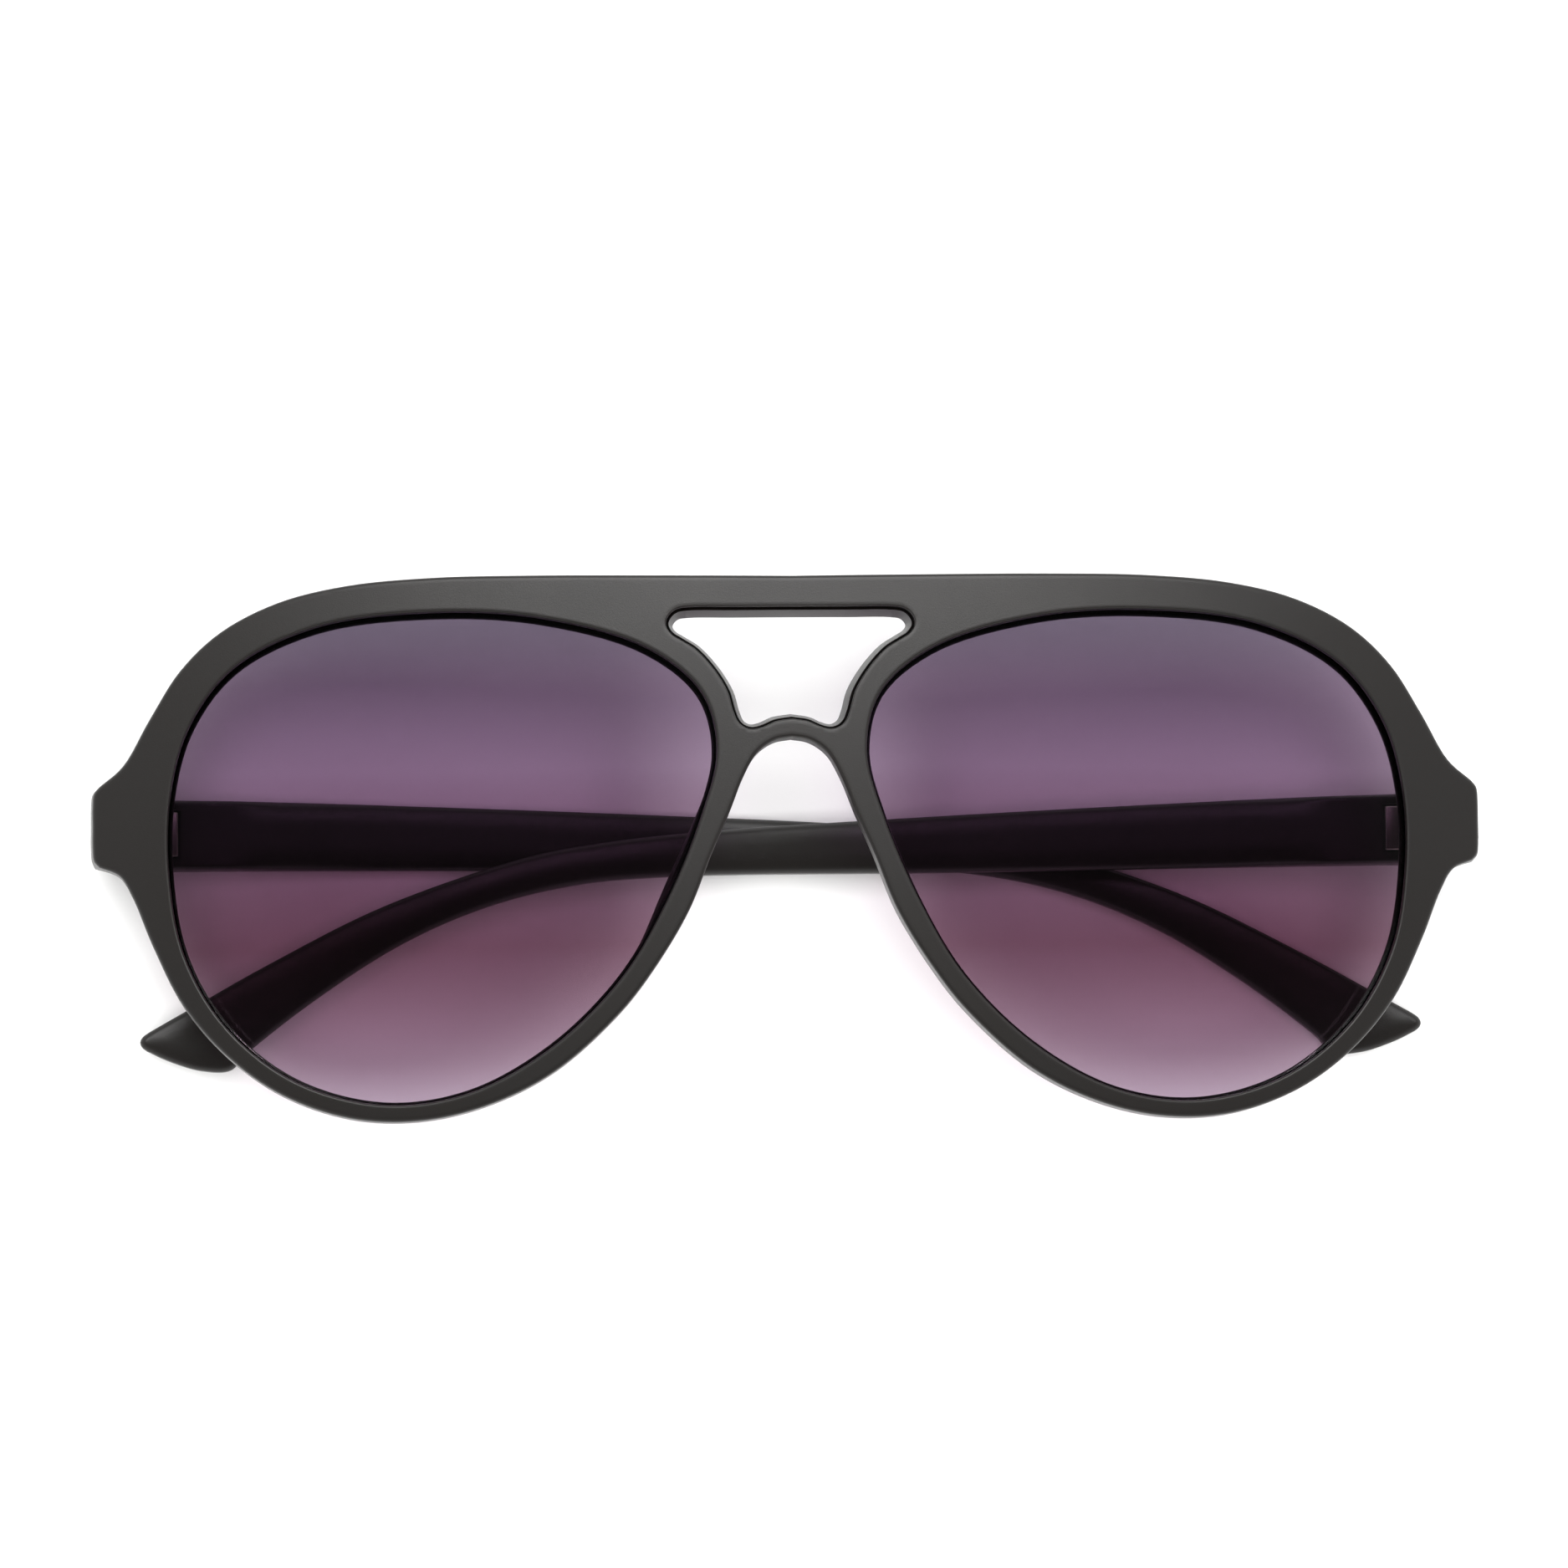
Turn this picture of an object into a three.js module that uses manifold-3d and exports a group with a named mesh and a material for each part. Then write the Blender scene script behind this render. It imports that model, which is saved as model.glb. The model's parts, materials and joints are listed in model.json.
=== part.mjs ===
// Double-bridge aviator sunglasses, folded and lying face up on their temples.
// Millimetres. +X runs to the wearer's left hinge, +Y to the brow, +Z out of the front face.
// The lower face of the right temple lies on z = 0.
import * as THREE from "three";
import { mergeVertices } from "three/addons/utils/BufferGeometryUtils.js";
import Module from "manifold-3d";

const wasm = await Module();
wasm.setup();

// Front: one moulding, drawn flat and then wrapped round the face.
const FRONT_THICKNESS = 4.2;
const FRONT_HEIGHT = 20.4; // from the line between the hinge axes to the middle of the front face
const WRAP_RADIUS = 220; // across the face
const DROP_RADIUS = 300; // from brow to cheek
const EDGE_ROUND = 0.35; // rounding of the long edges
const RIM_CHAMFER = 0.5; // how far the front edge of a rim opens out from the lens
const WINDOW_STEP = 1.2; // depth of the straight part of the window's wall
const WINDOW_DRAFT = 0.8; // how much narrower the window is at the back
const WRAP_PITCH = 12; // distance between the lines along which the flat drawing bends
const WRAP_LINES = 5; // such lines on each side of the middle
const THROUGH = 1; // how far a cutter reaches past the face it cuts

// Lenses and the groove that holds them.
const LENS_THICKNESS = 1.8;
const LENS_DEPTH = FRONT_THICKNESS / 2; // the middle of the lens below the front face
const LENS_BEVEL = 0.5; // how far the edge of the lens reaches into the groove
const LENS_EDGE = 0.4; // thickness left at the very edge
const GROOVE_WIDTH = 2.3;
const GROOVE_DEPTH = 0.8;

// Hinges.
const HINGE_X = 67; // half the distance between the hinge axes
const HINGE_Y = 3.05; // middle height of endpieces, hinges and temples
const BARREL_RADIUS = 1.15;
const BORE_RADIUS = 0.85;
const SCREW_RADIUS = 0.55;
const SCREW_HEAD_RADIUS = 1.0;
const SCREW_HEAD_HEIGHT = 0.6;
const SCREW_HEAD_CHAMFER = 0.2;
const SLOT_DEPTH = 0.3;
const SLOT_WIDTH = 0.3;
const MIDDLE_KNUCKLE = 1.7;
const OUTER_KNUCKLE = 1.3;
const KNUCKLE_GAP = 0.3;
const HINGE_INSET = 1.35; // from the hinge axis to the inner face of temple and endpiece
const LEAF_THICKNESS = 1.0;
const LEAF_PROUD = 0.3;
const LEAF_HEIGHT = 4.6;
const LEAF_START = BARREL_RADIUS + KNUCKLE_GAP; // from the hinge axis to the plate
const LEAF_MERGE = 0.5; // how far an arm of the barrel runs into its plate
const POCKET_GAP = 0.3;
const POCKET_ROUND = 0.2;
const FRONT_LEAF_END = 5.6; // from the hinge axis to the far end of the plate
const FRONT_POCKET_LEAD = 1; // how far the pocket runs on past the hinge axis
const TEMPLE_LEAF_END = 8.5;
const TEMPLE_POCKET_LEAD = 0.5;

// Endpieces.
const ENDPIECE_X = 72.5;
const ENDPIECE_HEIGHT = 7.7;
const ENDPIECE_ROUND = 0.6;
const RETURN_REACH = 65.2; // how far in the return of an endpiece runs inside the front
const RETURN_TOP = 8.8; // how far up it runs inside the front
const RETURN_ROOT = 7.5; // height at which its inner wall meets the back of the front

// Temples.
const TEMPLE_AXIS_HEIGHT = 5.5; // hinge axis above the outer face
const TEMPLE_THICKNESS = 2.6;
const TEMPLE_TIP_THICKNESS = 2.2;
const TEMPLE_HINGE_THICKNESS = TEMPLE_AXIS_HEIGHT - HINGE_INSET;
const TEMPLE_EDGE = 0.55; // rounding of the long edges
const TEMPLE_START = 0.15; // clearance between the end of a temple and its hinge axis
const TEMPLE_THIN_FROM = 8; // the thick hinge end fades out between these two lengths
const TEMPLE_THIN_TO = 29;
const TEMPLE_TIP_FROM = 90; // the tip gets thinner between these two lengths
const TEMPLE_TIP_TO = 134;
const TEMPLE_BENDS = [8, 13, 18, 23, 29, 60, 90]; // lengths at which the inner face bends
const FOLD_GAP = 0.4; // clearance between the folded temples

// Nose pads, moulded with the front.
const PAD_THICKNESS = 2.5;
const PAD_ROUND = 0.9;
const PAD_X = 11.0;
const PAD_Y = -3.4;
const PAD_SPLAY = THREE.MathUtils.degToRad(-5);
const PAD_LEAN = THREE.MathUtils.degToRad(29);

// The right temple folds last and lies flat below the left one, so the front
// is lifted at the left hinge by one temple and the gap.
const FRONT_TILT = Math.asin((TEMPLE_THICKNESS + FOLD_GAP) / (2 * HINGE_X));

// Half outlines of the front, from the centre line outwards, and back again.
const BROW = [
  [0, 28.0], [14, 28.15], [27, 28.3], [37, 28.25], [45.8, 27.6], [52.9, 26.0],
  [58.8, 23.1], [63.0, 19.2], [66.2, 14.2], [69.0, 9.4], [71.2, 7.4],
];
const CHEEK = [
  [71.2, -1.1], [69.4, -2.0], [68.0, -4.3], [66.0, -9.2], [62.8, -15.6],
  [58.4, -20.8], [52.6, -25.0], [45.6, -27.5], [38.6, -27.9], [31.6, -26.4],
  [24.6, -23.0], [17.8, -17.0], [14.0, -12.1], [10.7, -6.6], [8.4, -0.9],
  [6.6, 3.2], [5.0, 7.2], [3.6, 9.6], [1.8, 10.85], [0, 11.2],
];
const ENDPIECE_END = [[72.0, 6.4], [72.1, 3.1], [72.0, -0.3]];
const LENS_APERTURE = [
  [37, 24.15], [48.75, 22.9], [57.15, 18.95], [61.6, 13.2], [63.55, 6.4],
  [63.75, -2], [62.2, -10.35], [58.0, -17.6], [51, -23.2], [42.1, -25.7],
  [33.5, -24.6], [25.1, -20.05], [18.0, -13.1], [13.6, -5.75], [9.9, 3.05],
  [8.2, 9.9], [9.6, 15.6], [15, 20.15], [25.7, 23.35],
];
// The window at the back of the front, where it is narrowest.
const WINDOW_TOP = [[0, 24.0], [10.9, 23.9], [11.8, 23.6], [12.1, 23.0]];
const WINDOW_SIDE = [
  [12.1, 23.0], [11.35, 22.4], [9.3, 21.0], [7.3, 18.75], [5.85, 16.3],
  [5.25, 14.2], [4.8, 13.2], [4.15, 12.85], [3.3, 13.0], [1.9, 13.6], [0, 13.9],
];

// Outline of a temple: distance from the hinge axis, and height.
const TEMPLE_TOP = [
  [TEMPLE_START, 6.75], [20, 6.25], [57, 4.6], [75, 3.55], [86, 2.45],
  [94, 1.0], [109, -4.0], [121, -9.9], [129.5, -14.6], [133.6, -16.9],
];
const TEMPLE_TIP = [[134.6, -18.0], [133.9, -18.9]];
const TEMPLE_BOTTOM = [
  [131.8, -19.9], [128.3, -21.0], [125.2, -21.0], [123.4, -19.2],
  [115.8, -13.4], [106.8, -7.8], [98, -4.1], [88.6, -1.9], [79, -1.15],
  [50, -1.0], [20, -0.75], [TEMPLE_START, -0.65],
];

const MATT_BLACK = { color: 0x2e2c2b, roughness: 0.55, metalness: 0 };
const SMOKE_LENS = { color: 0x5a4456, roughness: 0.05, metalness: 0, transparent: true, opacity: 0.7 };
const NICKEL = { color: 0x8f8c88, roughness: 0.35, metalness: 1 };

// A smooth run of points through the given ones.
function smooth(points, steps, closed = false) {
  const through = points.map(([x, y]) => new THREE.Vector3(x, y, 0));
  const curve = new THREE.CatmullRomCurve3(through, closed, "centripetal");
  const run = curve.getPoints(steps).map((p) => new THREE.Vector2(p.x, p.y));
  return closed ? run.slice(0, -1) : run;
}

// Mirrors a half outline that starts and ends on the centre line.
function bothHalves(half) {
  const other = half.slice(1, -1).reverse().map((p) => new THREE.Vector2(-p.x, p.y));
  return [...half, ...other];
}

function vectors(points) {
  return points.map(([x, y]) => new THREE.Vector2(x, y));
}

function roundedBox(width, height, depth, round) {
  const x = width / 2 - round;
  const y = height / 2 - round;
  const shape = new THREE.Shape();
  shape.absarc(x, y, round, 0, Math.PI / 2);
  shape.absarc(-x, y, round, Math.PI / 2, Math.PI);
  shape.absarc(-x, -y, round, Math.PI, 1.5 * Math.PI);
  shape.absarc(x, -y, round, 1.5 * Math.PI, 2 * Math.PI);
  const box = new THREE.ExtrudeGeometry(shape, { depth, bevelEnabled: false, curveSegments: 3 });
  return box.translate(0, 0, -depth / 2);
}

// A plate from z = 0 down to -thickness, with its outline at the full size and its edges rounded.
function roundedPlate(shape, thickness, round, segments = 2) {
  const plate = new THREE.ExtrudeGeometry(shape, {
    depth: thickness - 2 * round,
    bevelThickness: round,
    bevelSize: round,
    bevelOffset: -round,
    bevelSegments: segments,
  });
  return plate.translate(0, 0, round - thickness);
}

// A plate whose edge runs out to a bead of the given width, `reach` beyond its outline.
function beadedPlate(shape, thickness, edge, reach) {
  const plate = new THREE.ExtrudeGeometry(shape, {
    depth: edge,
    bevelThickness: (thickness - edge) / 2,
    bevelSize: reach,
    bevelSegments: 1,
  });
  return plate.translate(0, 0, -edge / 2);
}

function toSolid(geometry) {
  const bare = new THREE.BufferGeometry();
  bare.setAttribute("position", geometry.getAttribute("position"));
  bare.setIndex(geometry.index);
  const merged = mergeVertices(bare, 1e-4);
  return new wasm.Manifold(
    new wasm.Mesh({
      numProp: 3,
      vertProperties: merged.attributes.position.array,
      triVerts: new Uint32Array(merged.index.array),
    }),
  );
}

function toGeometry(solid) {
  const { vertProperties, triVerts } = solid.getMesh();
  const geometry = new THREE.BufferGeometry();
  geometry.setAttribute("position", new THREE.BufferAttribute(vertProperties, 3));
  geometry.setIndex(new THREE.BufferAttribute(triVerts, 1));
  const flat = geometry.toNonIndexed();
  flat.computeVertexNormals();
  return flat;
}

// The point where an edge crosses a plane, the same from either end of the edge.
function crossing(a, b, axis, level) {
  const [low, high] = a[axis] < b[axis] ? [a, b] : [b, a];
  const share = (level - low[axis]) / (high[axis] - low[axis]);
  const point = low.map((value, i) => value + share * (high[i] - value));
  point[axis] = level;
  return point;
}

// Cuts the triangles along the plane at `level` of an axis, so that they can bend there.
function creased(triangles, axis, level) {
  return triangles.flatMap((corners) => {
    const side = corners.map((p) => Math.sign(p[axis] - level));
    if (!side.includes(1) || !side.includes(-1)) return [corners];
    const on = side.indexOf(0);
    if (on >= 0) {
      const [p, q, r] = [0, 1, 2].map((i) => corners[(on + i) % 3]);
      const cut = crossing(q, r, axis, level);
      return [[p, q, cut], [p, cut, r]];
    }
    const alone = side.findIndex((s, i) => s !== side[(i + 1) % 3] && s !== side[(i + 2) % 3]);
    const [p, q, r] = [0, 1, 2].map((i) => corners[(alone + i) % 3]);
    const pq = crossing(p, q, axis, level);
    const pr = crossing(p, r, axis, level);
    return [[p, pq, pr], [pq, q, r], [pq, r, pr]];
  });
}

// Creases a geometry along planes of X and Y, then moves each point with `bend`.
function bent(geometry, levelsX, levelsY, bend) {
  const loose = geometry.index ? geometry.toNonIndexed() : geometry;
  const flat = loose.getAttribute("position").array;
  let triangles = [];
  for (let i = 0; i < flat.length; i += 9) {
    triangles.push([0, 3, 6].map((k) => Array.from(flat.slice(i + k, i + k + 3))));
  }
  for (const level of levelsX) triangles = creased(triangles, 0, level);
  for (const level of levelsY) triangles = creased(triangles, 1, level);
  const moved = new Float32Array(triangles.flatMap((corners) => corners.flatMap(bend)));
  const out = new THREE.BufferGeometry();
  out.setAttribute("position", new THREE.BufferAttribute(moved, 3));
  return out;
}

function levelsBetween(low, high, pitch) {
  const count = Math.floor((high - low) / pitch);
  return Array.from({ length: count + 1 }, (_, i) => low + i * pitch);
}

// How far the wrapped front falls back from the plane of its middle.
function fallback(x, y) {
  const across = WRAP_RADIUS - Math.sqrt(WRAP_RADIUS ** 2 - x * x);
  const down = DROP_RADIUS - Math.sqrt(DROP_RADIUS ** 2 - y * y);
  return across + down;
}

function wrapped(geometry) {
  const levelsX = levelsBetween(-WRAP_LINES * WRAP_PITCH, WRAP_LINES * WRAP_PITCH, WRAP_PITCH);
  const levelsY = [-WRAP_PITCH, WRAP_PITCH];
  return bent(geometry, levelsX, levelsY, ([x, y, z]) => [x, y, z + FRONT_HEIGHT - fallback(x, y)]);
}

function lensOutline(side) {
  const outline = smooth(LENS_APERTURE.map(([x, y]) => [side * x, y]), 44, true);
  return side > 0 ? outline : outline.reverse();
}

// The cutter of the window between the bars: straight at the front, then narrower to the back.
function windowCutter() {
  const half = [...vectors(WINDOW_TOP), ...smooth(WINDOW_SIDE, 14).slice(1)];
  const slope = FRONT_THICKNESS - WINDOW_STEP;
  const cutter = new THREE.ExtrudeGeometry(new THREE.Shape(bothHalves(half)), {
    depth: WINDOW_STEP + THROUGH,
    bevelThickness: slope + THROUGH,
    bevelSize: WINDOW_DRAFT * (slope + THROUGH) / slope,
    bevelOffset: -WINDOW_DRAFT * THROUGH / slope,
    bevelSegments: 1,
  });
  return toSolid(cutter.translate(0, 0, -WINDOW_STEP));
}

// The cutters of one rim: the groove of the lens, and the chamfer from the lens to the front edge.
function rimCutters(side) {
  const outline = new THREE.Shape(lensOutline(side));
  const groove = beadedPlate(outline, GROOVE_WIDTH, LENS_EDGE, GROOVE_DEPTH);
  const chamfer = new THREE.ExtrudeGeometry(outline, {
    depth: THROUGH,
    bevelThickness: LENS_DEPTH - GROOVE_WIDTH / 2,
    bevelSize: RIM_CHAMFER,
    bevelSegments: 1,
  });
  return toSolid(groove.translate(0, 0, -LENS_DEPTH)).add(toSolid(chamfer));
}

// The flat front: brow bar, both rims, the window between the bars and the lens grooves.
function frontPlate() {
  const half = [...smooth(BROW, 16), ...vectors(ENDPIECE_END), ...smooth(CHEEK, 30)];
  const shape = new THREE.Shape(bothHalves(half).reverse());
  for (const side of [-1, 1]) shape.holes.push(new THREE.Path(lensOutline(side)));
  let plate = toSolid(roundedPlate(shape, FRONT_THICKNESS, EDGE_ROUND)).subtract(windowCutter());
  for (const side of [-1, 1]) plate = plate.subtract(rimCutters(side));
  return toGeometry(plate);
}

// The endpiece turns back from the front to the hinge, seen here from the brow.
function endpieceReturn(side) {
  const inner = HINGE_X + HINGE_INSET;
  const shape = new THREE.Shape();
  shape.moveTo(inner, 0);
  shape.lineTo(ENDPIECE_X, 0);
  shape.lineTo(ENDPIECE_X, 2.2);
  shape.quadraticCurveTo(ENDPIECE_X - 0.1, 5.4, 71.8, 8.0);
  shape.quadraticCurveTo(71.3, RETURN_TOP, 69.6, RETURN_TOP);
  shape.lineTo(RETURN_REACH, RETURN_TOP);
  shape.lineTo(RETURN_REACH, RETURN_ROOT);
  shape.quadraticCurveTo(inner, RETURN_ROOT, inner, 4.6);
  const block = new THREE.ExtrudeGeometry(shape, {
    depth: ENDPIECE_HEIGHT - 2 * ENDPIECE_ROUND,
    bevelThickness: ENDPIECE_ROUND,
    bevelSize: ENDPIECE_ROUND,
    bevelOffset: -ENDPIECE_ROUND,
    bevelSegments: 2,
    curveSegments: 4,
  });
  // the outline was drawn in X and Z; its depth becomes the height along Y
  block.rotateX(Math.PI / 2);
  block.translate(0, HINGE_Y + ENDPIECE_HEIGHT / 2 - ENDPIECE_ROUND, 0);
  return mirroredTo(side, toSolid(block));
}

// The pocket in the endpiece that takes the plate of the front hinge leaf.
function leafPocket(side) {
  const depth = LEAF_THICKNESS - LEAF_PROUD + POCKET_GAP;
  const length = FRONT_POCKET_LEAD + FRONT_LEAF_END + POCKET_GAP;
  const pocket = roundedBox(2 * depth, length, LEAF_HEIGHT + 2 * POCKET_GAP, POCKET_ROUND);
  pocket.rotateX(Math.PI / 2);
  pocket.translate(HINGE_X + HINGE_INSET, HINGE_Y, length / 2 - FRONT_POCKET_LEAD);
  return mirroredTo(side, toSolid(pocket));
}

function nosePad(side) {
  const shape = new THREE.Shape();
  shape.moveTo(-6.6, 0.6);
  shape.bezierCurveTo(-7.4, -2.4, -5.0, -5.2, -0.4, -5.6);
  shape.bezierCurveTo(4.4, -5.8, 6.6, -3.0, 7.4, 0.6);
  const pad = new THREE.ExtrudeGeometry(shape, {
    depth: PAD_THICKNESS - 2 * PAD_ROUND,
    bevelThickness: PAD_ROUND,
    bevelSize: PAD_ROUND,
    bevelOffset: -PAD_ROUND,
    bevelSegments: 2,
    curveSegments: 7,
  });
  pad.translate(0, 0, PAD_ROUND - PAD_THICKNESS / 2);
  // stand the pad on edge: its length along the rim, its width towards the face
  pad.rotateX(Math.PI / 2);
  pad.rotateZ(Math.PI / 2);
  pad.rotateY(PAD_SPLAY);
  pad.rotateZ(PAD_LEAN);
  pad.translate(PAD_X, PAD_Y, FRONT_HEIGHT - FRONT_THICKNESS);
  return mirroredTo(side, toSolid(pad));
}

function mirroredTo(side, solid) {
  return side > 0 ? solid : solid.mirror([1, 0, 0]);
}

function frontFrame() {
  let frame = toSolid(wrapped(frontPlate()));
  for (const side of [-1, 1]) {
    frame = frame.add(endpieceReturn(side)).add(nosePad(side)).subtract(leafPocket(side));
  }
  return toGeometry(frame);
}

// A lens: flat outline with its edge bevelled to sit in the groove, wrapped like the front.
function lens(side) {
  const bead = beadedPlate(new THREE.Shape(lensOutline(side)), LENS_THICKNESS, LENS_EDGE, LENS_BEVEL);
  return wrapped(bead.translate(0, 0, -LENS_DEPTH));
}

// Thickness of a temple along its length, from its flat outer face.
function templeThickness(u) {
  const fade = THREE.MathUtils.smoothstep(u, TEMPLE_THIN_FROM, TEMPLE_THIN_TO);
  const body = THREE.MathUtils.lerp(TEMPLE_HINGE_THICKNESS, TEMPLE_THICKNESS, fade);
  const tip = THREE.MathUtils.smoothstep(u, TEMPLE_TIP_FROM, TEMPLE_TIP_TO);
  return THREE.MathUtils.lerp(body, TEMPLE_TIP_THICKNESS, tip);
}

// A temple in its own frame: +X from the hinge axis to the tip, outer face at -TEMPLE_AXIS_HEIGHT.
function temple() {
  const outline = [...smooth(TEMPLE_TOP, 18), ...vectors(TEMPLE_TIP), ...smooth(TEMPLE_BOTTOM, 22)];
  const bar = roundedPlate(new THREE.Shape(outline), TEMPLE_THICKNESS, TEMPLE_EDGE);
  const swollen = bent(bar, TEMPLE_BENDS, [], ([u, y, z]) => {
    const height = (z + TEMPLE_THICKNESS) * (templeThickness(u) / TEMPLE_THICKNESS);
    return [u, y, height - TEMPLE_AXIS_HEIGHT];
  });
  const depth = LEAF_THICKNESS - LEAF_PROUD + POCKET_GAP;
  const length = TEMPLE_POCKET_LEAD + TEMPLE_LEAF_END + POCKET_GAP;
  const pocket = roundedBox(length, LEAF_HEIGHT + 2 * POCKET_GAP, 2 * depth, POCKET_ROUND);
  pocket.translate(length / 2 - TEMPLE_POCKET_LEAD, HINGE_Y, -HINGE_INSET);
  return toGeometry(toSolid(swollen).subtract(toSolid(pocket)));
}

function pin(radius, height, y) {
  return new THREE.CylinderGeometry(radius, radius, height, 20).translate(0, y, 0);
}

// A box given by its lowest and highest corner.
function block(low, high) {
  const size = high.map((value, i) => value - low[i]);
  const box = new THREE.BoxGeometry(...size);
  return box.translate(...low.map((value, i) => value + size[i] / 2));
}

const OUTER_MIDDLE = (MIDDLE_KNUCKLE + OUTER_KNUCKLE) / 2 + KNUCKLE_GAP;
const HINGE_HALF = OUTER_MIDDLE + OUTER_KNUCKLE / 2;

// The front hinge leaf: a plate let into the endpiece and two knuckles, in the frame of the hinge axis.
function frontLeaf() {
  const wall = HINGE_INSET - LEAF_PROUD;
  const half = LEAF_HEIGHT / 2;
  const plate = block([wall, -half, LEAF_START], [wall + LEAF_THICKNESS, half, FRONT_LEAF_END]);
  let leaf = toSolid(plate);
  for (const middle of [-OUTER_MIDDLE, OUTER_MIDDLE]) {
    const low = middle - OUTER_KNUCKLE / 2;
    const arm = block([0, low, 0], [wall + LEAF_MERGE, low + OUTER_KNUCKLE, LEAF_START + LEAF_MERGE]);
    leaf = leaf.add(toSolid(arm)).add(toSolid(pin(BARREL_RADIUS, OUTER_KNUCKLE, middle)));
  }
  return toGeometry(leaf.subtract(toSolid(pin(BORE_RADIUS, 4 * HINGE_HALF, 0))));
}

// The temple hinge leaf: a plate let into the temple and one knuckle between the other two.
function templeLeaf() {
  const face = HINGE_INSET - LEAF_PROUD;
  const half = LEAF_HEIGHT / 2;
  const reach = MIDDLE_KNUCKLE / 2;
  const plate = block([LEAF_START, -half, -face - LEAF_THICKNESS], [TEMPLE_LEAF_END, half, -face]);
  const arm = block([0, -reach, -face - LEAF_MERGE], [LEAF_START + LEAF_MERGE, reach, 0]);
  const knuckle = toSolid(pin(BARREL_RADIUS, MIDDLE_KNUCKLE, 0));
  const bore = toSolid(pin(BORE_RADIUS, 4 * HINGE_HALF, 0));
  return toGeometry(toSolid(plate).add(toSolid(arm)).add(knuckle).subtract(bore));
}

// A slotted screw that is the pin of the hinge, its head on top.
function hingeScrew() {
  const head = HINGE_HALF + KNUCKLE_GAP;
  const top = head + SCREW_HEAD_HEIGHT;
  const profile = [
    [0, -HINGE_HALF], [SCREW_RADIUS, -HINGE_HALF], [SCREW_RADIUS, head],
    [SCREW_HEAD_RADIUS, head], [SCREW_HEAD_RADIUS, top - SCREW_HEAD_CHAMFER],
    [SCREW_HEAD_RADIUS - SCREW_HEAD_CHAMFER, top], [0, top],
  ];
  const screw = new THREE.LatheGeometry(vectors(profile), 20);
  const reach = SCREW_HEAD_RADIUS + THROUGH;
  const slot = block([-reach, top - SLOT_DEPTH, -SLOT_WIDTH / 2], [reach, top + THROUGH, SLOT_WIDTH / 2]);
  return toGeometry(toSolid(screw).subtract(toSolid(slot)));
}

function mesh(name, geometry, finish) {
  const named = new THREE.Mesh(geometry, new THREE.MeshStandardMaterial(finish));
  named.name = name;
  return named;
}

function group(...children) {
  const made = new THREE.Group();
  made.add(...children);
  return made;
}

// The parts that turn about one hinge, drawn for the right-hand side and mirrored for the left.
function templeAssembly(name) {
  const leaf = mesh(`temple_hinge_${name}`, templeLeaf(), NICKEL);
  leaf.position.y = HINGE_Y;
  return group(mesh(`temple_${name}`, temple(), MATT_BLACK), leaf);
}

// The fixed half of one hinge, drawn for the +X side.
function hingeAssembly(name) {
  const leaf = mesh(`front_hinge_${name}`, frontLeaf(), NICKEL);
  const screw = mesh(`hinge_screw_${name}`, hingeScrew(), NICKEL);
  const assembly = group(leaf, screw);
  assembly.position.set(HINGE_X, HINGE_Y, 0);
  return group(assembly);
}

const front = group(
  mesh("front_frame", frontFrame(), MATT_BLACK),
  mesh("lens_left", lens(1), SMOKE_LENS),
  mesh("lens_right", lens(-1), SMOKE_LENS),
);
const leftHinge = hingeAssembly("left");
const rightHinge = hingeAssembly("right");
rightHinge.scale.x = -1;
front.add(leftHinge, rightHinge);
front.rotation.y = -FRONT_TILT;
front.position.z = TEMPLE_AXIS_HEIGHT + HINGE_X * Math.sin(FRONT_TILT);

const rightTemple = templeAssembly("right");
rightTemple.position.set(-HINGE_X * Math.cos(FRONT_TILT), 0, TEMPLE_AXIS_HEIGHT);

const leftTemple = templeAssembly("left");
leftTemple.scale.x = -1;
leftTemple.position.set(
  HINGE_X * Math.cos(FRONT_TILT),
  0,
  TEMPLE_AXIS_HEIGHT + TEMPLE_THICKNESS + FOLD_GAP,
);

const sunglasses = group(front, leftTemple, rightTemple);
sunglasses.name = "aviator_sunglasses";

export default sunglasses;
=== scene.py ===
"""Double-bridge aviator sunglasses, folded and lying face up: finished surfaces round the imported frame.

Shapes are drawn in millimetres in the frame of the front or of a hinge, and placed in metres at the end.
+X runs to the wearer's left hinge, +Y to the brow and +Z out of the front face.
"""

import json
import math

import bmesh
import bpy
from mathutils import Matrix, Vector
from mathutils.kdtree import KDTree


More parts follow.
